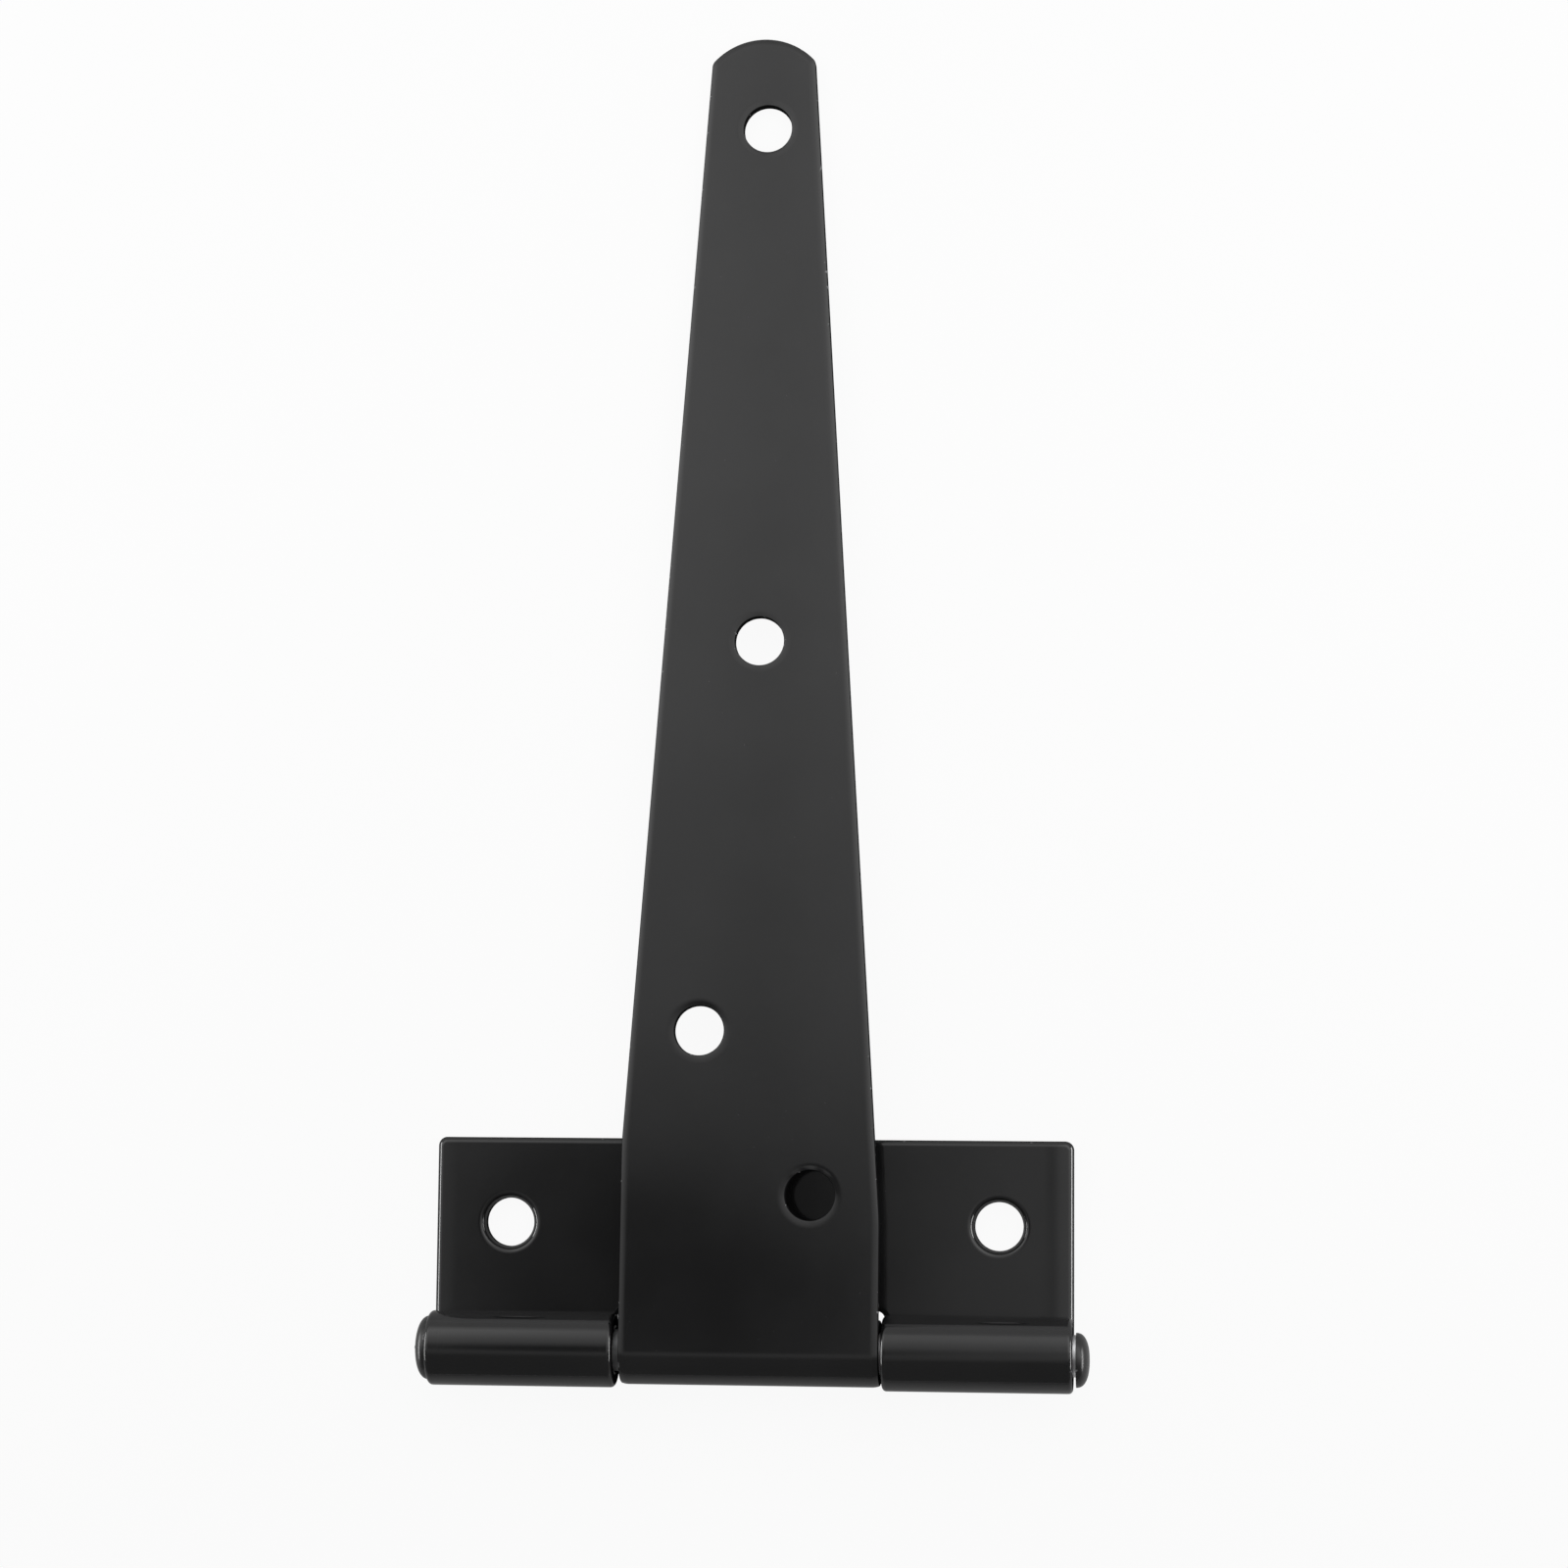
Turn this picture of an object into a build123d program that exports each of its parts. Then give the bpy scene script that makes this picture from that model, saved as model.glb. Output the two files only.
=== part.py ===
from build123d import *
import math
import os

# T-hinge, folded so that its strap lies over the cross leaf, as it rests on a table. Millimetres.
# X runs along the pin, +Y points from the pin to the strap's tip, +Z up off the mounting surface.
# Each leaf is first made about the pin's axis, and placed in the hinge at the end.

# Pin
pin_diameter = 4.7
pin_end_play = 0.35
left_head_diameter = 7.2
right_head_diameter = 6.1
right_head_offset = -0.45
head_height = 1.5
head_rim_height = 0.45
head_rim_bevel = 0.15
nib_diameter = 0.9
nib_height = 0.25

# Rolled knuckles, alike on both leaves
bore_clearance = 0.05
seam_gap = 0.15
side_gap = 0.5
notch_clearance = 0.8

# Cross leaf
leaf_width = 73.0
leaf_reach = 23.9
leaf_sheet = 1.8
leaf_corner_radius = 1.0
leaf_hole_diameter = 5.5
leaf_hole_side_inset = 8.45
leaf_hole_edge_inset = 9.65
leaf_hole_roll = 0.55
leaf_back_round = 0.5
leaf_front_bevel = 0.3

# Strap
strap_reach = 153.1
strap_width = 29.3
strap_sheet = 1.4
strap_tip_width = 11.85
strap_tip_radius = 8.0
strap_tip_corner_radius = 1.2
strap_taper_start = 18.9
strap_taper_offset = -0.28
strap_kink_radius = 30.0
strap_float = 0.26
strap_hole_bevel = 0.35
strap_back_bevel = 0.15
strap_front_round = 0.35

# Screw holes in the strap. The tip hole is placed from the tip and the others from the pin's axis.
strap_hole_diameter = 5.65
tip_hole_side = 0.3
tip_hole_inset = 11.0
middle_hole_side = 0.2
middle_hole_reach = 80.85
left_hole_side = -6.05
left_hole_reach = 35.95
right_hole_side = 6.8
right_hole_reach = 17.45

# Worked out from the sizes above
pin_radius = pin_diameter / 2
bore_radius = pin_radius + bore_clearance
leaf_knuckle_radius = bore_radius + leaf_sheet
strap_knuckle_radius = bore_radius + strap_sheet
notch_width = strap_width + 2 * side_gap
notch_reach = strap_knuckle_radius + notch_clearance
leaf_hole_spacing = leaf_width - 2 * leaf_hole_side_inset
leaf_hole_reach = leaf_reach - leaf_hole_edge_inset
strap_hole_places = (
    (tip_hole_side, strap_reach - tip_hole_inset),
    (middle_hole_side, middle_hole_reach),
    (left_hole_side, left_hole_reach),
    (right_hole_side, right_hole_reach),
)

# The strap leans down until the lower edge of its tip meets the surface that the leaf lies on
strap_drop = leaf_knuckle_radius + bore_radius
strap_lean = math.degrees(math.asin(strap_drop / strap_reach))

# The origin is midway between the cross leaf's screw holes, on its mounting face
hinge_place = Location((0, -leaf_hole_reach, leaf_knuckle_radius))


def on_circle(radius, angle):
    """The point at an angle on a circle about the pin's axis."""
    return (radius * math.cos(math.radians(angle)), radius * math.sin(math.radians(angle)))


def roll_section(sheet):
    """Side view of a knuckle: a sheet rolled from under the pin back round to the sheet's upper face."""
    outer = bore_radius + sheet
    end_angle = -math.degrees(math.asin((bore_radius - seam_gap) / outer))
    turn = -270 + end_angle
    with BuildSketch(Plane.YZ) as section:
        with BuildLine():
            CenterArc((0, 0), outer, -90, turn)
            Line(on_circle(outer, end_angle), on_circle(bore_radius, end_angle))
            CenterArc((0, 0), bore_radius, end_angle, -turn)
            Line((0, -bore_radius), (0, -outer))
        make_face()
    return section.sketch


def make_roll(sheet, width):
    """A knuckle as long as the leaf is wide."""
    return extrude(roll_section(sheet), amount=width / 2, both=True)


def roll_rims(roll, sheet):
    """The outer edges at the ends of the knuckles."""
    arcs = roll.edges().filter_by(GeomType.CIRCLE).filter_by(Plane.YZ)
    return arcs.filter_by(lambda arc: abs(arc.radius - bore_radius - sheet) < 1e-4)


def make_plate(outline, sheet):
    """The flat of a leaf, with its front face level with the underside of the pin's bore."""
    return extrude(Pos(0, 0, -bore_radius - sheet) * outline, amount=sheet)


def front_rim(plate, inner_reach):
    """The edges round a flat's front face that lie beyond a distance from the pin's axis."""
    rim = plate.faces().sort_by(Axis.Z)[-1].outer_wire().edges()
    return rim.filter_by(lambda edge: edge.center().Y > inner_reach + 0.01)


def back_rim(plate):
    """The edges round a flat's back face, without the one where the knuckle goes on."""
    rim = plate.faces().sort_by(Axis.Z)[0].outer_wire().edges()
    return rim.filter_by(lambda edge: edge.center().Y > 0.01)


def hole_rim(solid, place, radius):
    """The edge of one screw hole on the front face of a leaf's flat."""
    rims = solid.edges().filter_by(GeomType.CIRCLE).filter_by(Plane.XY)
    level = rims.filter_by_position(Axis.Z, -bore_radius - 0.01, -bore_radius + 0.01)
    return level.filter_by(lambda rim: (rim.arc_center - place).length < radius)


def leaf_outline():
    """Plan view of the cross leaf beyond the pin's axis, with the notch for the strap's knuckle."""
    with BuildSketch(Plane.XY) as outline:
        Rectangle(leaf_width, leaf_reach, align=(Align.CENTER, Align.MIN))
        fillet(outline.vertices().group_by(Axis.Y)[-1], leaf_corner_radius)
        Rectangle(notch_width, notch_reach, align=(Align.CENTER, Align.MIN), mode=Mode.SUBTRACT)
    return outline.sketch


def make_cross_leaf():
    """Rectangular leaf with two end knuckles and a notch that the strap's knuckle turns in."""
    plate = make_plate(leaf_outline(), leaf_sheet)
    plate = chamfer(front_rim(plate, notch_reach), leaf_front_bevel)
    plate = fillet(back_rim(plate), leaf_back_round)
    room = 3 * leaf_knuckle_radius
    roll = make_roll(leaf_sheet, leaf_width) - Box(notch_width, room, room)
    leaf = plate + fillet(roll_rims(roll, leaf_sheet), leaf_back_round)
    for side in (-1, 1):
        place = Vector(side * leaf_hole_spacing / 2, leaf_hole_reach, -bore_radius)
        leaf = leaf - Pos(place) * Cylinder(leaf_hole_diameter / 2, room)
        leaf = fillet(hole_rim(leaf, place, leaf_hole_diameter), leaf_hole_roll)
    return leaf


def taper_half_width(reach):
    """Half the strap's width at a distance from the pin, along its taper."""
    share = (strap_reach - reach) / (strap_reach - strap_taper_start)
    return (strap_tip_width + (strap_width - strap_tip_width) * share) / 2


def tip_corner_reach():
    """Distance from the pin at which the taper's sides run into the round of the tip."""
    slope = (strap_width - strap_tip_width) / 2 / (strap_reach - strap_taper_start)
    half_tip = strap_tip_width / 2
    middle = strap_tip_radius - half_tip * slope
    root = math.sqrt(middle**2 - (1 + slope**2) * half_tip**2)
    return strap_reach - (middle - root) / (1 + slope**2)


def strap_outline():
    """Plan view of the strap beyond the pin's axis: parallel sides, then a long taper to a round tip."""
    half_width = strap_width / 2
    slope = (strap_width - strap_tip_width) / 2 / (strap_reach - strap_taper_start)
    left_kink = strap_taper_start - strap_taper_offset / slope
    right_kink = strap_taper_start + strap_taper_offset / slope
    corner = tip_corner_reach()
    half_tip = taper_half_width(corner)
    tip_left = (strap_taper_offset - half_tip, corner)
    tip_right = (strap_taper_offset + half_tip, corner)
    tip = (strap_taper_offset, strap_reach)
    with BuildSketch(Plane.XY) as outline:
        with BuildLine():
            Polyline((half_width, right_kink), (half_width, 0), (-half_width, 0), (-half_width, left_kink))
            Line((-half_width, left_kink), tip_left)
            ThreePointArc(tip_left, tip, tip_right)
            Line(tip_right, (half_width, right_kink))
        make_face()
        corners = outline.vertices().filter_by_position(Axis.Y, corner - 0.01, corner + 0.01)
        fillet(corners, strap_tip_corner_radius)
        kinks = outline.vertices().filter_by_position(Axis.Y, right_kink - 0.01, left_kink + 0.01)
        fillet(kinks, strap_kink_radius)
    return outline.sketch


def make_strap_leaf():
    """Tapered strap with its middle knuckle and four screw holes, set at its lean."""
    plate = make_plate(strap_outline(), strap_sheet)
    plate = fillet(front_rim(plate, 0), strap_front_round)
    plate = chamfer(back_rim(plate), strap_back_bevel)
    roll = make_roll(strap_sheet, strap_width)
    strap = plate + chamfer(roll_rims(roll, strap_sheet), strap_back_bevel)
    for side, reach in strap_hole_places:
        place = Vector(side, reach, -bore_radius)
        strap = strap - Pos(place) * Cylinder(strap_hole_diameter / 2, 3 * strap_sheet)
        strap = chamfer(hole_rim(strap, place, strap_hole_diameter), strap_hole_bevel)
    turned_over = mirror(strap, about=Plane.XY)
    return Pos(strap_float, 0, 0) * Rot(-strap_lean, 0, 0) * turned_over


def make_pin_head(diameter, nib):
    """Domed head with its flat side on the plane X = 0 and its dome towards +X."""
    radius = diameter / 2
    with BuildSketch(Plane.XY) as profile:
        with BuildLine():
            Line((0, 0), (0, radius))
            Line((0, radius), (head_rim_height, radius))
            rise = head_height - head_rim_height
            dome_radius = (radius**2 + rise**2) / (2 * rise)
            RadiusArc((head_rim_height, radius), (head_height, 0), dome_radius)
            Line((head_height, 0), (0, 0))
        make_face()
    head = revolve(profile.sketch, axis=Axis.X)
    rims = head.edges().filter_by(GeomType.CIRCLE)
    head = chamfer(rims.sort_by(Axis.X)[0], head_rim_bevel)
    if nib:
        nib_length = nib_height + head_height / 2
        place = Pos(head_height / 2 + nib_length / 2, 0, 0) * Rot(0, 90, 0)
        head = head + place * Cone(nib_diameter / 2, nib_diameter / 8, nib_length)
    return head


def make_hinge_pin():
    """Pin with a head at each end, the left one against the cross leaf and the right one off centre."""
    shaft = Pos(pin_end_play / 2, 0, 0) * Rot(0, 90, 0) * Cylinder(pin_radius, leaf_width + pin_end_play)
    right_place = Pos(leaf_width / 2 + pin_end_play, right_head_offset, 0)
    right_head = right_place * make_pin_head(right_head_diameter, nib=False)
    left_head = Pos(-leaf_width / 2, 0, 0) * Rot(0, 0, 180) * make_pin_head(left_head_diameter, nib=True)
    return shaft + right_head + left_head


pieces = {
    "cross_leaf": make_cross_leaf(),
    "strap_leaf": make_strap_leaf(),
    "hinge_pin": make_hinge_pin(),
}
os.makedirs("parts", exist_ok=True)
for name, piece in pieces.items():
    export_step(hinge_place * piece, f"parts/{name}.step")
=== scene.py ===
import math

import bmesh
import bpy
from mathutils import Matrix, Vector


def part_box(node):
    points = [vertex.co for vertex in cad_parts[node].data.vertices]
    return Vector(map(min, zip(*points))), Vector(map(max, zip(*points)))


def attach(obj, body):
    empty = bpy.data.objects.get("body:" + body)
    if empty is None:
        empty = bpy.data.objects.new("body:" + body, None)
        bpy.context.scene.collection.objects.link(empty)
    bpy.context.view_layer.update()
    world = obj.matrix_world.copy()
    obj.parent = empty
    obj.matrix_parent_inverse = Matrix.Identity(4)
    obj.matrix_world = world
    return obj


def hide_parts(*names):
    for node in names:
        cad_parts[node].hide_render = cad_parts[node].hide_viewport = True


bl_info = {
    "name": "Tee Hinge",
    "version": (1, 0, 0),
    "blender": (4, 5, 0),
    "location": "3D View > Sidebar > Tee Hinge",
    "description": "Rolled leaves, black coat, lights and floor for a folded tee hinge",
    "category": "Object",
}

# How far the finish of an edge and the dull cut wall reach over a face, in metres
EDGE_REACH = 0.0006
WALL_REACH = 0.00006

# Points round a screw hole and round the pin, and the angle in degrees above which faces meet sharply
HOLE_POINTS = 96
PIN_POINTS = 72
SHARP_ANGLE = 38

# The raised lip of a screw hole: its waves in a whole turn, and how far they change its height
LIP_WAVES = 9
LIP_UNEVENNESS = 0.25

# Levels of soft noise between which the coating's specks, dust, dusty patches and clouds set in
SPECK_LEVELS = (0.675, 0.715)
DUST_LEVELS = (0.76, 0.8)
DUSTY_LEVELS = (0.5, 0.65)
CLOUD_LEVELS = (0.35, 0.7)

# How near an edge specks set in, from 0 at EDGE_REACH to 1 at the edge itself
SPECK_NEARNESS = (0.5, 0.85)

# How strongly dust shows, how much paler clouds are, their change of the roughness, and what marks add to it
DUST_STRENGTH = 0.35
CLOUD_PALENESS = 1.25
CLOUD_ROUGHNESS = (0.8, 1.3)
MARK_ROUGHNESS = 0.3

# Mirroring of the coating and of the dull cut walls
COAT_SPECULAR = 0.5
WALL_SPECULAR = 0.0

# Brightness of the top light by the distance from its darkest place, in metres
TOP_GLOW = (
    (0.0, 0.115),
    (0.0105, 0.105),
    (0.02, 0.18),
    (0.03, 0.42),
    (0.04, 0.53),
    (0.05, 0.69),
    (0.06, 0.75),
    (0.08, 0.86),
    (0.1, 1.01),
    (0.13, 1.135),
    (0.17, 1.21),
    (0.22, 1.22),
    (0.26, 0.95),
    (0.3, 0.8),
    (0.5, 0.75),
    (1.0, 0.7),
)

# Factor on that brightness by the distance sideways from the dark band over the strap, in metres
ASIDE_FACTORS = (
    (0.0, 0.95),
    (0.0035, 0.97),
    (0.007, 1.05),
    (0.014, 1.09),
    (0.02, 1.1),
    (0.04, 1.12),
    (0.07, 1.4),
    (0.11, 1.7),
    (0.25, 1.7),
    (0.4, 1.0),
)

# Distances towards the tip between which the factor sets in, and between which it ends
ASIDE_START = (0.008, 0.03)
ASIDE_END = (0.26, 0.42)

# The light in front of the knuckles: where it brightens, its two levels, and where it meets the rest
FRONT_RISE = (-0.07, -0.035)
FRONT_LEVELS = (0.2, 0.42)
FRONT_MEETING = (-0.0485, -0.0098)

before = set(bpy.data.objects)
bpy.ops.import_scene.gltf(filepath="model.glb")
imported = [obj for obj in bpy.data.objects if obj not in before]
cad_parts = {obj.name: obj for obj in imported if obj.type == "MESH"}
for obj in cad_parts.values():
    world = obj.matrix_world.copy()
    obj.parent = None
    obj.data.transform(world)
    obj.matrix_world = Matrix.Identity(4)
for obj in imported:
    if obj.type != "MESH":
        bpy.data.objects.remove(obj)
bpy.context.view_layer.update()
leaf_low, leaf_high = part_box("cross_leaf")


def length(name, description, default):
    """A size in metres."""
    return bpy.props.FloatProperty(
        name=name, description=description, unit="LENGTH", precision=5, default=default
    )


def spot(name, description, default):
    """Distances along the pin and away from it, in metres."""
    return bpy.props.FloatVectorProperty(
        name=name, description=description, subtype="XYZ", unit="LENGTH", size=2, precision=5, default=default
    )


def portion(name, description, default):
    """A share from 0 to 1."""
    return bpy.props.FloatProperty(
        name=name, description=description, subtype="FACTOR", min=0, max=1, default=default
    )


def swatch(name, description, default):
    """A colour."""
    return bpy.props.FloatVectorProperty(
        name=name, description=description, subtype="COLOR", size=3, min=0, max=1, default=default
    )


class TeeHingeKnuckle(bpy.types.PropertyGroup):
    """The rolls round the pin, alike on both leaves."""

    bore_radius: length("Bore radius", "Radius inside the knuckles", 0.0024)
    seam_gap: length("Seam gap", "Gap between the end of a roll and the leaf", 0.00015)
    cuts: bpy.props.IntProperty(name="Cuts", description="Number of cuts across a roll", min=12, default=56)


class TeeHingeLeaf(bpy.types.PropertyGroup):
    """The cross leaf."""

    width: length("Width", "Length along the pin", leaf_high.x - leaf_low.x)
    sheet: length("Sheet", "Thickness of the sheet", 0.0018)
    reach: length("Reach", "Distance from the pin to the far edge", 0.0239)
    corner_radius: length("Corner radius", "Radius of the far corners", 0.001)
    notch_width: length("Notch width", "Width of the notch for the strap's knuckle", 0.0303)
    notch_reach: length("Notch reach", "Depth of the notch from the pin", 0.0046)
    notch_radius: length("Notch radius", "Radius of the notch's inner corners", 0.0009)
    hole_radius: length("Hole radius", "Radius of the screw holes", 0.00275)
    hole_spacing: length("Hole spacing", "Distance between the screw holes", 0.0561)
    hole_reach: length("Hole reach", "Distance of the screw holes from the pin", 0.01425)
    bend_width: length("Bend width", "Width over which the face bends down towards its ends", 0.0024)
    bend_drop: length("Bend drop", "Drop of the face towards its ends", 0.0001)
    swell_width: length("Swell width", "Width of the faint swell beside the right end", 0.0034)
    swell_height: length("Swell height", "Height of the faint swell beside the right end", 0.00008)
    edge_width: length("Edge width", "Width of the rolled edge", 0.00065)
    edge_drop: length("Edge drop", "Drop of the rolled edge", 0.00045)
    back_round: length("Back round", "Radius of the edge at the back", 0.0005)
    rim_width: length("Rim width", "Width of the dip round a screw hole", 0.00095)
    rim_drop: length("Rim drop", "Depth of the dip round a screw hole", 0.00085)
    hole_round: length("Hole round", "Radius of the screw holes' rims at the back", 0.0001)


class TeeHingeStrap(bpy.types.PropertyGroup):
    """The strap."""

    width: length("Width", "Width at the pin", 0.0293)
    sheet: length("Sheet", "Thickness of the sheet", 0.0014)
    reach: length("Reach", "Distance from the pin to the tip", 0.15308)
    tip_width: length("Tip width", "Width at the tip", 0.01185)
    tip_radius: length("Tip radius", "Radius of the end", 0.008)
    tip_corner_radius: length("Tip corner radius", "Radius of the corners beside the end", 0.0012)
    taper_start: length("Taper start", "Distance from the pin at which the strap starts to taper", 0.0189)
    taper_offset: length("Taper offset", "Sideways place of the tapered part", -0.00028)
    kink_radius: length("Kink radius", "Radius of the bends where the taper starts", 0.03)
    side_place: length("Side place", "Place of the strap along the pin", 0.00026)
    hole_radius: length("Hole radius", "Radius of the screw holes", 0.002825)
    lean: bpy.props.FloatProperty(
        name="Lean",
        description="How far the strap leans down from level",
        unit="ROTATION",
        default=0.0431225,
    )
    tip_hole: spot("Tip hole", "Place of the tip's screw hole", (0.0003, 0.1421))
    middle_hole: spot("Middle hole", "Place of the middle screw hole", (0.0002, 0.08085))
    left_hole: spot("Left hole", "Place of the left screw hole", (-0.00605, 0.03595))
    right_hole: spot("Right hole", "Place of the right screw hole", (0.0068, 0.01745))
    edge_width: length("Edge width", "Width of the soft edge on the outer face", 0.0009)
    edge_drop: length("Edge drop", "Drop of the soft edge on the outer face", 0.00017)
    rim_width: length("Rim width", "Width of the dip round a screw hole", 0.0009)
    rim_drop: length("Rim drop", "Depth of the dip round a screw hole", 0.00012)
    lip_width: length("Lip width", "Width of the raised lip at the right screw hole", 0.0005)
    lip_height: length("Lip height", "Height of the raised lip at the right screw hole", 0.00012)
    edge_bevel: length("Edge bevel", "Width of the bevel at the rim of the outer face", 0.0001)
    inner_round: length("Inner round", "Radius of the edge on the inner face", 0.00035)
    hole_round: length("Hole round", "Radius of the screw holes' rims on the inner face", 0.00015)


class TeeHingePin(bpy.types.PropertyGroup):
    """The pin and its heads, whose coating is duller than the leaves'."""

    radius: length("Radius", "Radius of the pin", 0.00235)
    left: length("Left", "Place of the left head's flat side", -0.0365)
    right: length("Right", "Place of the right head's flat side", 0.03685)
    left_head_radius: length("Left head radius", "Radius of the left head", 0.0036)
    right_head_radius: length("Right head radius", "Radius of the right head", 0.00305)
    right_head_offset: length("Right head offset", "How far the right head lies off the pin's axis", -0.00045)
    head_height: length("Head height", "Height of the heads", 0.0015)
    head_fullness: bpy.props.FloatProperty(
        name="Head fullness", description="How full the heads are, with 2 for an ellipse", default=2.4
    )
    nib_radius: length("Nib radius", "Radius of the nib on the left head", 0.0004)
    nib_height: length("Nib height", "Height of the nib on the left head", 0.00025)
    top_radius: length("Top radius", "Radius of the flat at the top of the right head", 0.00005)
    roughness: portion("Pin roughness", "How much the coating on the pin blurs what it reflects", 0.3)
    bare_colour: swatch("Bare colour", "Colour of the bare steel beside the right head", (0.75, 0.75, 0.76))


class TeeHingeCoat(bpy.types.PropertyGroup):
    """The black coating on all three pieces."""

    colour: swatch("Colour", "Colour of the black coating", (0.0072, 0.0072, 0.0074))
    roughness: portion("Roughness", "How much the coating blurs what it reflects", 0.1)
    peel_size: length("Peel size", "Distance between the ripples of the coating", 0.0011)
    peel_depth: length("Peel depth", "Height of the ripples of the coating", 0.0000025)
    wave_size: length("Wave size", "Distance between the wide waves of the coating", 0.016)
    wave_depth: length("Wave depth", "Height of the wide waves of the coating", 0.000012)
    cloud_size: length("Cloud size", "Distance between the faint clouds in the coating", 0.009)
    worn_colour: swatch("Worn colour", "Colour of the specks and the dust", (0.16, 0.16, 0.165))
    speck_size: length("Speck size", "Size of the rubbed specks along the edges", 0.0007)
    dust_size: length("Dust size", "Distance between the grains of dust", 0.00045)
    wall_roughness: portion("Wall roughness", "Roughness of the thin coating on the cut walls", 0.5)


class TeeHingeStage(bpy.types.PropertyGroup):
    """The floor, the lights and the camera."""

    floor_colour: swatch("Floor colour", "Colour of the floor", (0.55, 0.55, 0.55))
    floor_width: length("Floor width", "Width of the square floor", 20.0)
    floor_drop: length("Floor drop", "How far the floor lies below the hinge", 0.00002)
    floor_white: portion("Floor white", "Share of plain white in the floor as it is seen", 0.93)
    floor_mirrored: portion("Floor mirrored", "Share of plain white in the floor's mirror image", 0.08)
    top_height: length("Top light height", "Height of the wide soft light over the hinge", 0.14)
    top_width: length("Top light width", "Width of the wide soft light over the hinge", 20.0)
    top_dark: spot("Top light dark place", "Where the top light is darkest", (-0.0295, -0.0074))
    top_stretch: portion("Top light stretch", "How much a distance along the pin counts in it", 0.73)
    top_band: length("Top light band", "Place along the pin of the dark band over the strap", -0.014)
    side_level: bpy.props.FloatProperty(
        name="Side light level",
        description="Brightness of the lights on the left and right, with the white floor as 1",
        default=14.0,
    )
    side_width: length("Side light width", "Width of each side light", 0.28)
    side_height: length("Side light height", "Height of each side light", 0.05)
    side_distance: length("Side light distance", "Distance of each side light from the hinge", 0.33)
    side_lift: length("Side light lift", "Height of each side light over the floor", 0.01)
    camera_place: bpy.props.FloatVectorProperty(
        name="Camera place",
        description="Where the camera stands",
        subtype="TRANSLATION",
        unit="LENGTH",
        size=3,
        default=(0.0497186, 0.0039821, 0.425678),
    )
    camera_turn: bpy.props.FloatVectorProperty(
        name="Camera turn",
        description="How the camera is turned from looking straight down",
        subtype="EULER",
        unit="ROTATION",
        size=3,
        default=(0.1094, 0.1084, 0.0091),
    )
    camera_lens: bpy.props.FloatProperty(
        name="Camera lens",
        description="Focal length of the camera for a sensor 36 mm wide",
        unit="CAMERA",
        default=85.503,
    )


def arc(centre, radius, start, turn, count):
    """Points along an arc, with its angles in degrees."""
    return [
        Vector(centre) + radius * Vector((math.cos(angle), math.sin(angle)))
        for angle in (math.radians(start + turn * step / count) for step in range(count + 1))
    ]


def rounded(points, radii, count=10):
    """A closed outline with its corners rounded. A radius of 0 keeps the corner."""
    outline = []
    for index, (corner, radius) in enumerate(zip(points, radii)):
        before = (points[index - 1] - corner).normalized()
        after = (points[(index + 1) % len(points)] - corner).normalized()
        if radius == 0:
            outline.append(corner)
            continue
        half = before.angle(after) / 2
        centre = corner + (before + after).normalized() * radius / math.sin(half)
        first = corner + before * radius / math.tan(half) - centre
        last = corner + after * radius / math.tan(half) - centre
        turn = math.degrees(last.angle_signed(first))
        start = math.degrees(math.atan2(first.y, first.x))
        outline += arc(centre, radius, start, turn, count)
    return outline


def inset(outline, distance):
    """A closed outline moved towards its left by a distance."""
    moved = []
    for index, here in enumerate(outline):
        before = (here - outline[index - 1]).normalized()
        after = (outline[(index + 1) % len(outline)] - here).normalized()
        first = Vector((-before.y, before.x))
        last = Vector((-after.y, after.x))
        moved.append(here + (first + last) * distance / (1 + first.dot(last)))
    return moved


def soft_edge(width, drop, power, count=12):
    """Distances in from the edge and depths below the face, from the face out to the edge."""
    shares = [step / count for step in range(count + 1)]
    return [(width * (1 - share), drop * share**power) for share in shares]


def round_edge(radius, count=6):
    """The same for a quarter round."""
    angles = [math.radians(90 * step / count) for step in range(count + 1)]
    return [(radius * (1 - math.sin(angle)), radius * (1 - math.cos(angle))) for angle in angles]


def bevelled_edge(width, drop, bevel):
    """A soft edge that ends in a small bevel at its rim."""
    rim = [(far, drop + depth) for far, depth in round_edge(bevel, count=3)]
    return soft_edge(width, drop, power=2)[:-1] + rim


def hole_outline(middle, radius):
    """A screw hole as a closed outline, which runs the other way round than the sheet's own."""
    return arc(middle, radius, 0, -360, HOLE_POINTS)[:-1]


def edge_section(sheet, outer, inner):
    """Distances in and heights, from the outer face round the edge of a sheet to its inner face."""
    # Rings this close beside an edge keep the flat faces shaded flat
    hold = 0.00005
    down = [(far, sheet - depth) for far, depth in reversed(inner)]
    wall = [(0, outer[-1][1] + hold / 2), (0, down[0][1] - hold / 2)]
    return [(outer[0][0] + hold, 0)] + outer + wall + down + [(down[-1][0] + hold, sheet)]


def edge_nearness(far):
    """How near a point lies to an edge, from 0 to 1 at the edge itself."""
    return max(0, 1 - far / EDGE_REACH)


def join_rings(built, rings):
    """Faces between rings of points that follow each other."""
    for lower, upper in zip(rings, rings[1:]):
        for index in range(len(lower)):
            built.faces.new((lower[index - 1], lower[index], upper[index], upper[index - 1]))


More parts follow.
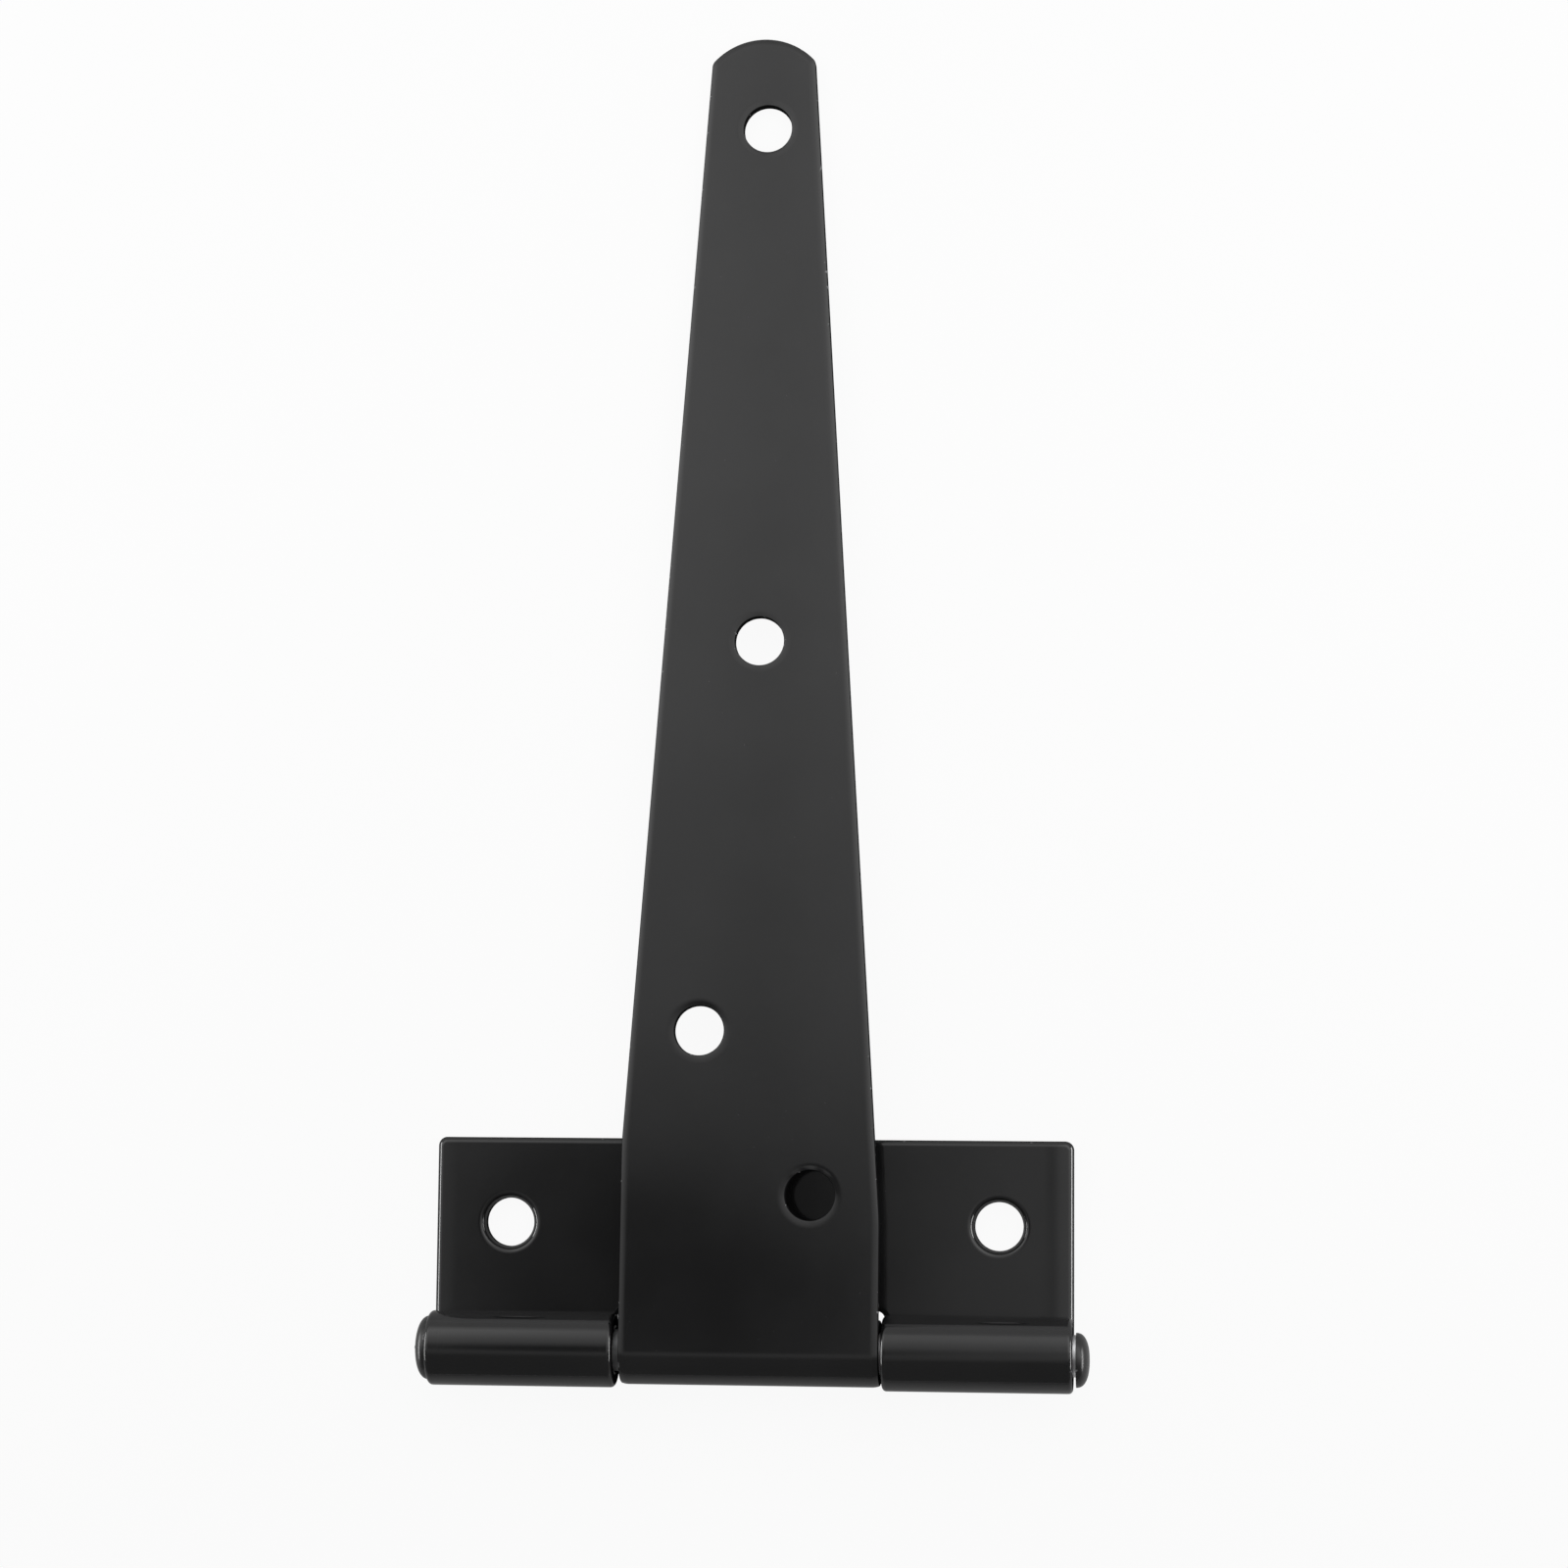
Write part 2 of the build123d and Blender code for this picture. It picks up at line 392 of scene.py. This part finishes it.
def make_sheet(blanks):
    """A flat punched sheet. Each blank is an outline and the section of its edge.

    Its points carry how near they lie to an edge, and whether they lie on the cut wall.
    """
    built = bmesh.new()
    edge_share = built.verts.layers.float.new("edge")
    wall_share = built.verts.layers.float.new("wall")
    ends = ([], [])
    for outline, section in blanks:
        rings = []
        for far, height in section:
            ring = [built.verts.new((point.x, point.y, height)) for point in inset(outline, far)]
            inner = (far, height) in section[1:-1]
            for vertex in ring:
                vertex[edge_share] = edge_nearness(far) if inner else 0
                vertex[wall_share] = 1 if inner and far < WALL_REACH else 0
            rings.append(ring)
        join_rings(built, rings)
        for end, ring in zip(ends, (rings[0], rings[-1])):
            end += [built.edges.get((ring[index - 1], ring[index])) for index in range(len(ring))]
    for end in ends:
        bmesh.ops.triangle_fill(built, use_beauty=True, use_dissolve=False, edges=end)
    bmesh.ops.recalc_face_normals(built, faces=built.faces)
    return built


def cut(built, through, direction):
    """Cuts a mesh along a plane through a point, without parting it."""
    everything = built.verts[:] + built.edges[:] + built.faces[:]
    bmesh.ops.bisect_plane(built, geom=everything, plane_co=through, plane_no=direction, dist=1e-8)


def bend_ends(built, leaf, count=8):
    """Lets the inner face of a flat sheet drop softly towards its ends, and swell faintly at the right."""
    half = leaf.width / 2
    for step in range(1, count + 1):
        cut(built, (leaf.bend_width * step / count - half, 0, 0), (1, 0, 0))
        cut(built, (half - leaf.swell_width * step / count, 0, 0), (1, 0, 0))
    for vertex in built.verts:
        inner = vertex.co.z / leaf.sheet
        share = max(0, 1 - (half - abs(vertex.co.x)) / leaf.bend_width)
        vertex.co.z -= leaf.bend_drop * share**2 * inner
        far = (half - vertex.co.x) / leaf.swell_width
        if far < 1 and vertex.co.y > 0:
            vertex.co.z += leaf.swell_height * math.sin(math.pi * far) ** 2 * inner


def roll_turn(knuckle, sheet):
    """How far a sheet turns round the pin, in radians."""
    end = math.asin((knuckle.bore_radius - knuckle.seam_gap) / (knuckle.bore_radius + sheet))
    return math.radians(270) + end


def sheet_tail(knuckle, sheet):
    """Where a flat sheet ends behind the pin's axis, before it is rolled."""
    return -(knuckle.bore_radius + sheet) * roll_turn(knuckle, sheet)


def roll_up(built, knuckle, sheet):
    """Rolls the part of a sheet behind the pin's axis up and round the pin."""
    outer = knuckle.bore_radius + sheet
    turn = roll_turn(knuckle, sheet)
    for step in range(knuckle.cuts):
        cut(built, (0, -outer * turn * step / knuckle.cuts, 0), (0, 1, 0))
    for vertex in built.verts:
        x, y, height = vertex.co
        angle = max(0, -y / outer)
        radius = outer - height
        vertex.co = (x, max(0, y) - radius * math.sin(angle), -radius * math.cos(angle))


def place_piece(name, built, material, node, body):
    """Turns a mesh into a piece that stands for a node and rides on a body."""
    bmesh.ops.recalc_face_normals(built, faces=built.faces)
    mesh = bpy.data.meshes.new(name)
    built.to_mesh(mesh)
    built.free()
    mesh.shade_smooth()
    mesh.set_sharp_from_angle(angle=math.radians(SHARP_ANGLE))
    mesh.materials.append(material)
    piece = bpy.data.objects.new(name, mesh)
    bpy.context.scene.collection.objects.link(piece)
    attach(piece, body)
    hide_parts(node)


def hinge_place(context):
    """Where the pin's axis lies."""
    leaf = context.scene.tee_hinge_leaf
    return Matrix.Translation((0, -leaf.hole_reach, context.scene.tee_hinge_knuckle.bore_radius + leaf.sheet))


def leaf_outline(knuckle, leaf):
    """The cross leaf as it is punched, with its notch open towards the pin."""
    half = leaf.width / 2
    notch = leaf.notch_width / 2
    tail = sheet_tail(knuckle, leaf.sheet)
    corners = (
        (half, tail, 0),
        (half, leaf.reach, leaf.corner_radius),
        (-half, leaf.reach, leaf.corner_radius),
        (-half, tail, 0),
        (-notch, tail, 0),
        (-notch, leaf.notch_reach, leaf.notch_radius),
        (notch, leaf.notch_reach, leaf.notch_radius),
        (notch, tail, 0),
    )
    return rounded([Vector((x, y)) for x, y, radius in corners], [radius for x, y, radius in corners])


def make_cross_leaf(context):
    """The cross leaf: punched flat, then rolled at both ends."""
    knuckle = context.scene.tee_hinge_knuckle
    leaf = context.scene.tee_hinge_leaf
    edge_front = soft_edge(leaf.edge_width, leaf.edge_drop, power=2)
    edge = edge_section(leaf.sheet, round_edge(leaf.back_round), edge_front)
    rim_front = soft_edge(leaf.rim_width, leaf.rim_drop, power=3)
    rim = edge_section(leaf.sheet, round_edge(leaf.hole_round, count=2), rim_front)
    blanks = [(leaf_outline(knuckle, leaf), edge)]
    for side in (-1, 1):
        middle = (side * leaf.hole_spacing / 2, leaf.hole_reach)
        blanks.append((hole_outline(middle, leaf.hole_radius), rim))
    built = make_sheet(blanks)
    bend_ends(built, leaf)
    roll_up(built, knuckle, leaf.sheet)
    built.transform(hinge_place(context))
    return built


def taper_slope(strap):
    """How fast each side of the strap comes in along its taper."""
    return (strap.width - strap.tip_width) / 2 / (strap.reach - strap.taper_start)


def strap_end(strap):
    """Half of the strap's end: its round, and the small corner that leads from it into the taper."""
    slope = taper_slope(strap)
    inner = strap.tip_radius - strap.tip_corner_radius
    tilt = math.atan(slope)
    # The taper's side as seen from the middle of the round, and the corner's middle a radius inside it
    side_gap = (strap.tip_width / 2 + slope * strap.tip_radius) * math.cos(tilt)
    spread = math.acos((side_gap - strap.tip_corner_radius) / inner)
    turn = math.degrees(tilt + spread)
    middle = Vector((0, strap.reach - strap.tip_radius))
    corner = middle + inner * Vector((math.cos(math.radians(turn)), math.sin(math.radians(turn))))
    small = arc(corner, strap.tip_corner_radius, math.degrees(tilt), math.degrees(spread), count=8)
    return small + arc(middle, strap.tip_radius, turn, 90 - turn, count=16)[1:]


def raise_lip(built, strap):
    """Lifts the outer face at the tip side of the right screw hole, where the punch dragged it up."""
    for vertex in built.verts:
        away = vertex.co.xy - Vector(strap.right_hole)
        far = away.length - strap.hole_radius
        if far < strap.lip_width and vertex.co.z < strap.sheet / 2:
            wave = math.sin(LIP_WAVES * math.atan2(away.y, away.x))
            uneven = 1 - LIP_UNEVENNESS + LIP_UNEVENNESS * wave
            lift = max(0, away.y / away.length) * uneven * (1 - max(0, far) / strap.lip_width)
            vertex.co.z -= strap.lip_height * lift


def strap_outline(knuckle, strap):
    """The strap as it is punched: straight sides, then a long taper to a round end."""
    half = strap.width / 2
    offset = strap.taper_offset
    slope = taper_slope(strap)
    tail = sheet_tail(knuckle, strap.sheet)
    right_end = strap_end(strap)
    left_end = [Vector((-point.x, point.y)) for point in reversed(right_end[:-1])]
    end = [point + Vector((offset, 0)) for point in right_end + left_end]
    corners = [
        Vector((half, tail)),
        Vector((half, strap.taper_start + offset / slope)),
        *end,
        Vector((-half, strap.taper_start - offset / slope)),
        Vector((-half, tail)),
    ]
    radii = [0, strap.kink_radius] + [0] * len(end) + [strap.kink_radius, 0]
    return rounded(corners, radii)


def make_strap(context):
    """The strap: punched flat, then rolled at its wide end and turned over."""
    knuckle = context.scene.tee_hinge_knuckle
    strap = context.scene.tee_hinge_strap
    edge = bevelled_edge(strap.edge_width, strap.edge_drop, strap.edge_bevel)
    edge = edge_section(strap.sheet, edge, round_edge(strap.inner_round))
    rim = bevelled_edge(strap.rim_width, strap.rim_drop, strap.edge_bevel)
    rim = edge_section(strap.sheet, rim, round_edge(strap.hole_round))
    blanks = [(strap_outline(knuckle, strap), edge)]
    for hole in (strap.tip_hole, strap.middle_hole, strap.left_hole, strap.right_hole):
        blanks.append((hole_outline(hole, strap.hole_radius), rim))
    built = make_sheet(blanks)
    raise_lip(built, strap)
    roll_up(built, knuckle, strap.sheet)
    turned_over = Matrix.Scale(-1, 4, (0, 0, 1))
    lean = Matrix.Rotation(-strap.lean, 4, "X")
    aside = Matrix.Translation((strap.side_place, 0, 0))
    built.transform(hinge_place(context) @ aside @ lean @ turned_over)
    return built


def head_profile(pin, radius, count=20):
    """Distances out from a head's flat side and radii there, from the rim to the top."""
    profile = []
    for step in range(count):
        share = math.sin(math.radians(90 * step / count))
        across = (1 - share**pin.head_fullness) ** (1 / pin.head_fullness)
        profile.append((pin.head_height * share, radius * across))
    return profile


def pin_profile(pin, leaf):
    """The pin from the nib on the left head to the top of the right head.

    Each ring has its place, radius and offset, and its shares of rubbed edge, dull wall and bare steel.
    """
    flat = (0, 1, 0)
    bare = (0, 0, 1)
    tip = pin.left - pin.head_height
    profile = [(tip - pin.nib_height, pin.nib_radius / 2, 0, flat), (tip, pin.nib_radius, 0, flat)]
    for out, radius in reversed(head_profile(pin, pin.left_head_radius)):
        if radius > pin.nib_radius:
            profile.append((pin.left - out, radius, 0, (edge_nearness(out), 0, 0)))
    profile.append((pin.left, pin.left_head_radius - WALL_REACH, 0, flat))
    profile.append((pin.left, pin.radius, 0, flat))
    profile.append((leaf.width / 2, pin.radius, 0, bare))
    profile.append((pin.right, pin.radius, 0, bare))
    profile.append((pin.right, pin.right_head_radius - WALL_REACH, pin.right_head_offset, flat))
    for out, radius in head_profile(pin, pin.right_head_radius) + [(pin.head_height, pin.top_radius)]:
        profile.append((pin.right + out, radius, pin.right_head_offset, (edge_nearness(out), 0, 0)))
    return profile


def make_pin(context):
    """The pin, turned from its profile."""
    built = bmesh.new()
    layers = [built.verts.layers.float.new(name) for name in ("edge", "wall", "bare")]
    turns = [math.radians(360 / PIN_POINTS * step) for step in range(PIN_POINTS)]
    rings = []
    for x, radius, offset, shares in pin_profile(context.scene.tee_hinge_pin, context.scene.tee_hinge_leaf):
        ring = []
        for turn in turns:
            vertex = built.verts.new((x, offset + radius * math.cos(turn), radius * math.sin(turn)))
            for layer, share in zip(layers, shares):
                vertex[layer] = share
            ring.append(vertex)
        rings.append(ring)
    join_rings(built, rings)
    built.faces.new(rings[0])
    built.faces.new(rings[-1])
    built.transform(hinge_place(context))
    return built


def add_node(tree, kind, inputs=(), **settings):
    """A new node. Each input is a value or another node's output."""
    made = tree.nodes.new(kind)
    for name, value in settings.items():
        setattr(made, name, value)
    for socket, value in dict(inputs).items():
        if isinstance(value, bpy.types.NodeSocket):
            tree.links.new(value, made.inputs[socket])
        else:
            made.inputs[socket].default_value = value
    return made


def add_math(tree, operation, first, second=0.0):
    """The result of a sum on two values or outputs."""
    return add_node(tree, "ShaderNodeMath", {0: first, 1: second}, operation=operation).outputs[0]


def add_ramp(tree, factor, stops):
    """Grey values along a factor, given as pairs of place and value."""
    made = add_node(tree, "ShaderNodeValToRGB", {"Fac": factor})
    elements = made.color_ramp.elements
    while len(elements) < len(stops):
        elements.new(0.5)
    for element, (position, value) in zip(elements, stops):
        element.position = position
        element.color = (value, value, value, 1)
    return made.outputs["Color"]


def add_range(tree, value, start, end, low, high, smooth=False):
    """A value mapped from one range to another and held inside it."""
    settings = {"Value": value, "From Min": start, "From Max": end, "To Min": low, "To Max": high}
    kind = "SMOOTHSTEP" if smooth else "LINEAR"
    return add_node(tree, "ShaderNodeMapRange", settings, interpolation_type=kind).outputs["Result"]


def add_noise(tree, place, size, detail=2.0):
    """Soft noise with its patches about a size apart."""
    settings = {"Vector": place, "Scale": 1 / size, "Detail": detail}
    return add_node(tree, "ShaderNodeTexNoise", settings).outputs["Fac"]


def add_ripples(tree, height, depth, others=()):
    """The slope of a surface that rises and falls with a height, as high as a depth."""
    settings = {"Height": height, "Strength": 1.0, "Distance": depth, **dict(others)}
    return add_node(tree, "ShaderNodeBump", settings).outputs["Normal"]


def read_mark(tree, name):
    """One of the shares that the points of a mesh carry."""
    return add_node(tree, "ShaderNodeAttribute", attribute_name=name).outputs["Fac"]


def mix_colours(tree, share, first, second):
    """A colour that goes from the first to the second by a share."""
    shades = {0: share, 6: first, 7: second}
    return add_node(tree, "ShaderNodeMix", shades, data_type="RGBA").outputs[2]


def add_marks(tree, coat, place, patches):
    """How strongly each point shows rubbed specks along the edges, or dust in some of the patches."""
    rubbed = add_range(tree, add_noise(tree, place, coat.speck_size), *SPECK_LEVELS, 0, 1, smooth=True)
    near_edge = add_range(tree, read_mark(tree, "edge"), *SPECK_NEARNESS, 0, 1)
    specks = add_math(tree, "MULTIPLY", rubbed, near_edge)
    grains = add_noise(tree, place, coat.dust_size)
    dust = add_range(tree, grains, *DUST_LEVELS, 0, DUST_STRENGTH, smooth=True)
    dust = add_math(tree, "MULTIPLY", dust, add_range(tree, patches, *DUSTY_LEVELS, 0, 1))
    return add_math(tree, "MAXIMUM", specks, dust)


def coat_material(name, coat, shine):
    """A smooth black paint with a faint peel, dull on the cut walls and rubbed along the edges.

    The shine is its roughness on the open faces.
    """
    material = bpy.data.materials.new(name)
    material.use_nodes = True
    tree = material.node_tree
    shader = tree.nodes["Principled BSDF"]
    place = add_node(tree, "ShaderNodeTexCoord").outputs["Object"]
    wall = read_mark(tree, "wall")
    patches = add_noise(tree, place, coat.cloud_size, detail=3.0)
    marks = add_marks(tree, coat, place, patches)

    pale = tuple(CLOUD_PALENESS * part for part in coat.colour)
    clouds = add_range(tree, patches, *CLOUD_LEVELS, 0, 1, smooth=True)
    coated = mix_colours(tree, clouds, (*coat.colour, 1), (*pale, 1))
    marked = mix_colours(tree, marks, coated, (*coat.worn_colour, 1))
    tree.links.new(marked, shader.inputs["Base Color"])

    smoothest, roughest = (shine * change for change in CLOUD_ROUGHNESS)
    roughness = add_range(tree, patches, *CLOUD_LEVELS, smoothest, roughest)
    roughness = add_math(tree, "ADD", roughness, add_math(tree, "MULTIPLY", marks, MARK_ROUGHNESS))
    dull = add_math(tree, "MULTIPLY", wall, coat.wall_roughness)
    tree.links.new(add_math(tree, "MAXIMUM", roughness, dull), shader.inputs["Roughness"])
    specular = add_range(tree, wall, 0, 1, COAT_SPECULAR, WALL_SPECULAR)
    tree.links.new(specular, shader.inputs["Specular IOR Level"])

    peel = add_ripples(tree, add_noise(tree, place, coat.peel_size, detail=1.5), coat.peel_depth)
    wide = add_noise(tree, place, coat.wave_size, detail=1.0)
    waves = add_ripples(tree, wide, coat.wave_depth, {"Normal": peel})
    tree.links.new(waves, shader.inputs["Normal"])
    return material


def show_bare_steel(material, colour):
    """Bare steel in place of a coat where a mesh is marked as bare."""
    tree = material.node_tree
    shader = tree.nodes["Principled BSDF"]
    bare = read_mark(tree, "bare")
    coated = shader.inputs["Base Color"].links[0].from_socket
    tree.links.new(mix_colours(tree, bare, coated, (*colour, 1)), shader.inputs["Base Color"])
    tree.links.new(bare, shader.inputs["Metallic"])


class TEEHINGE_OT_cross_leaf(bpy.types.Operator):
    """Make the cross leaf"""

    bl_idname = "tee_hinge.cross_leaf"
    bl_label = "Cross Leaf"

    def execute(self, context):
        coat = context.scene.tee_hinge_coat
        material = coat_material("cross leaf coat", coat, coat.roughness)
        built = make_cross_leaf(context)
        place_piece("cross_leaf_sheet", built, material, "cross_leaf", "cross_leaf")
        return {"FINISHED"}


class TEEHINGE_OT_strap(bpy.types.Operator):
    """Make the strap"""

    bl_idname = "tee_hinge.strap"
    bl_label = "Strap"

    def execute(self, context):
        coat = context.scene.tee_hinge_coat
        material = coat_material("strap coat", coat, coat.roughness)
        place_piece("strap_sheet", make_strap(context), material, "strap_leaf", "strap")
        return {"FINISHED"}


class TEEHINGE_OT_pin(bpy.types.Operator):
    """Make the pin"""

    bl_idname = "tee_hinge.pin"
    bl_label = "Pin"

    def execute(self, context):
        pin = context.scene.tee_hinge_pin
        material = coat_material("pin coat", context.scene.tee_hinge_coat, pin.roughness)
        show_bare_steel(material, pin.bare_colour)
        place_piece("turned_pin", make_pin(context), material, "hinge_pin", "cross_leaf")
        return {"FINISHED"}


def make_square(name, width, height):
    """A flat square of the stage at a height, with a material that is still to be filled in."""
    half = width / 2
    mesh = bpy.data.meshes.new(name)
    corners = [(-half, -half, height), (half, -half, height), (half, half, height), (-half, half, height)]
    mesh.from_pydata(corners, [], [(0, 1, 2, 3)])
    square = bpy.data.objects.new(name, mesh)
    bpy.context.scene.collection.objects.link(square)
    material = bpy.data.materials.new(name)
    material.use_nodes = True
    mesh.materials.append(material)
    return square


def make_floor(stage):
    """A white floor under the hinge with a thinned shadow, clear from below so that the back is seen."""
    square = make_square("floor", stage.floor_width, -stage.floor_drop)
    tree = square.active_material.node_tree
    shader = tree.nodes["Principled BSDF"]
    shader.inputs["Base Color"].default_value = (*stage.floor_colour, 1)
    shader.inputs["Roughness"].default_value = 1
    shader.inputs["Specular IOR Level"].default_value = 0
    white = add_node(tree, "ShaderNodeEmission", {"Strength": 1.0})
    rays = add_node(tree, "ShaderNodeLightPath").outputs
    seen = add_math(tree, "MULTIPLY", rays["Is Camera Ray"], stage.floor_white)
    bounced = add_math(tree, "MAXIMUM", rays["Is Glossy Ray"], rays["Is Transmission Ray"])
    share = add_math(tree, "MAXIMUM", seen, add_math(tree, "MULTIPLY", bounced, stage.floor_mirrored))
    both = add_node(tree, "ShaderNodeMixShader", {0: share, 1: shader.outputs[0], 2: white.outputs[0]})
    below = add_node(tree, "ShaderNodeNewGeometry").outputs["Backfacing"]
    clear = add_node(tree, "ShaderNodeBsdfTransparent")
    shown = add_node(tree, "ShaderNodeMixShader", {0: below, 1: both.outputs[0], 2: clear.outputs[0]})
    tree.links.new(shown.outputs[0], tree.nodes["Material Output"].inputs["Surface"])


def make_top_light(stage):
    """A wide soft light over the hinge that darkens towards a place on its left."""
    square = make_square("top light", stage.top_width, stage.top_height)
    square.visible_camera = False
    tree = square.active_material.node_tree
    place = add_node(tree, "ShaderNodeTexCoord").outputs["Object"]
    axes = add_node(tree, "ShaderNodeSeparateXYZ", {"Vector": place}).outputs

    dark_x, dark_y = stage.top_dark
    across = add_math(tree, "MULTIPLY", add_math(tree, "SUBTRACT", axes["X"], dark_x), stage.top_stretch)
    along = add_math(tree, "SUBTRACT", axes["Y"], dark_y)
    squares = [add_math(tree, "MULTIPLY", part, part) for part in (across, along)]
    away = add_math(tree, "SQRT", add_math(tree, "ADD", *squares))
    glow = add_ramp(tree, away, TOP_GLOW)

    aside = add_math(tree, "ABSOLUTE", add_math(tree, "SUBTRACT", axes["X"], stage.top_band))
    factor = add_ramp(tree, aside, ASIDE_FACTORS)
    factor = add_range(tree, axes["Y"], *ASIDE_START, 1.0, factor, smooth=True)
    factor = add_range(tree, axes["Y"], *ASIDE_END, factor, 1.0, smooth=True)
    level = add_math(tree, "MULTIPLY", glow, factor)

    front = add_range(tree, axes["Y"], *FRONT_RISE, *FRONT_LEVELS, smooth=True)
    strength = add_range(tree, axes["Y"], *FRONT_MEETING, front, level, smooth=True)
    light = add_node(tree, "ShaderNodeEmission", {"Strength": strength})
    tree.nodes.remove(tree.nodes["Principled BSDF"])
    tree.links.new(light.outputs[0], tree.nodes["Material Output"].inputs["Surface"])


def make_room(context):
    """Plain white beyond the floor."""
    world = bpy.data.worlds.new("room")
    context.scene.world = world
    world.use_nodes = True
    room = world.node_tree.nodes["Background"]
    room.inputs["Color"].default_value = (1, 1, 1, 1)
    room.inputs["Strength"].default_value = 1.0


def make_side_light(context, stage, side):
    """A low wide light beside the hinge."""
    light = bpy.data.lights.new("side light", "AREA")
    light.shape = "RECTANGLE"
    light.size = stage.side_width
    light.size_y = stage.side_height
    light.energy = stage.side_level * math.pi * stage.side_width * stage.side_height
    lamp = bpy.data.objects.new("side light", light)
    lamp.location = (side * stage.side_distance, 0, stage.side_lift + stage.side_height / 2)
    lamp.rotation_euler = (math.radians(90), 0, side * math.radians(90))
    lamp.visible_camera = False
    context.scene.collection.objects.link(lamp)


def make_camera(context, stage):
    """The camera, above the hinge and a little to its right."""
    camera = bpy.data.cameras.new("camera")
    camera.sensor_width = 36
    camera.lens = stage.camera_lens
    camera.clip_start = 0.01
    seen_from = bpy.data.objects.new("camera", camera)
    seen_from.location = stage.camera_place
    seen_from.rotation_euler = stage.camera_turn
    context.scene.collection.objects.link(seen_from)
    context.scene.camera = seen_from


class TEEHINGE_OT_stage(bpy.types.Operator):
    """Set out the floor, the lights and the camera"""

    bl_idname = "tee_hinge.stage"
    bl_label = "Stage"

    def execute(self, context):
        stage = context.scene.tee_hinge_stage
        make_floor(stage)
        make_top_light(stage)
        make_room(context)
        for side in (-1, 1):
            make_side_light(context, stage, side)
        make_camera(context, stage)
        context.scene.view_settings.view_transform = "Standard"
        return {"FINISHED"}


class TEEHINGE_PT_panel(bpy.types.Panel):
    """Sizes and buttons of the tee hinge"""

    bl_idname = "TEEHINGE_PT_panel"
    bl_label = "Tee Hinge"
    bl_space_type = "VIEW_3D"
    bl_region_type = "UI"
    bl_category = "Tee Hinge"

    def draw(self, context):
        scene = context.scene
        for settings, operators in (
            (scene.tee_hinge_knuckle, ()),
            (scene.tee_hinge_leaf, (TEEHINGE_OT_cross_leaf,)),
            (scene.tee_hinge_strap, (TEEHINGE_OT_strap,)),
            (scene.tee_hinge_pin, (TEEHINGE_OT_pin,)),
            (scene.tee_hinge_coat, ()),
            (scene.tee_hinge_stage, (TEEHINGE_OT_stage,)),
        ):
            for name in settings.__annotations__:
                self.layout.prop(settings, name)
            for operator in operators:
                self.layout.operator(operator.bl_idname)


GROUPS = {
    "tee_hinge_knuckle": TeeHingeKnuckle,
    "tee_hinge_leaf": TeeHingeLeaf,
    "tee_hinge_strap": TeeHingeStrap,
    "tee_hinge_pin": TeeHingePin,
    "tee_hinge_coat": TeeHingeCoat,
    "tee_hinge_stage": TeeHingeStage,
}
OTHERS = (
    TEEHINGE_OT_cross_leaf,
    TEEHINGE_OT_strap,
    TEEHINGE_OT_pin,
    TEEHINGE_OT_stage,
    TEEHINGE_PT_panel,
)


def register():
    for name, group in GROUPS.items():
        bpy.utils.register_class(group)
        setattr(bpy.types.Scene, name, bpy.props.PointerProperty(type=group))
    for cls in OTHERS:
        bpy.utils.register_class(cls)


def unregister():
    for cls in reversed(OTHERS):
        bpy.utils.unregister_class(cls)
    for name, group in GROUPS.items():
        delattr(bpy.types.Scene, name)
        bpy.utils.unregister_class(group)


def main():
    register()
    bpy.ops.tee_hinge.cross_leaf()
    bpy.ops.tee_hinge.strap()
    bpy.ops.tee_hinge.pin()
    bpy.ops.tee_hinge.stage()


if __name__ == "__main__":
    main()
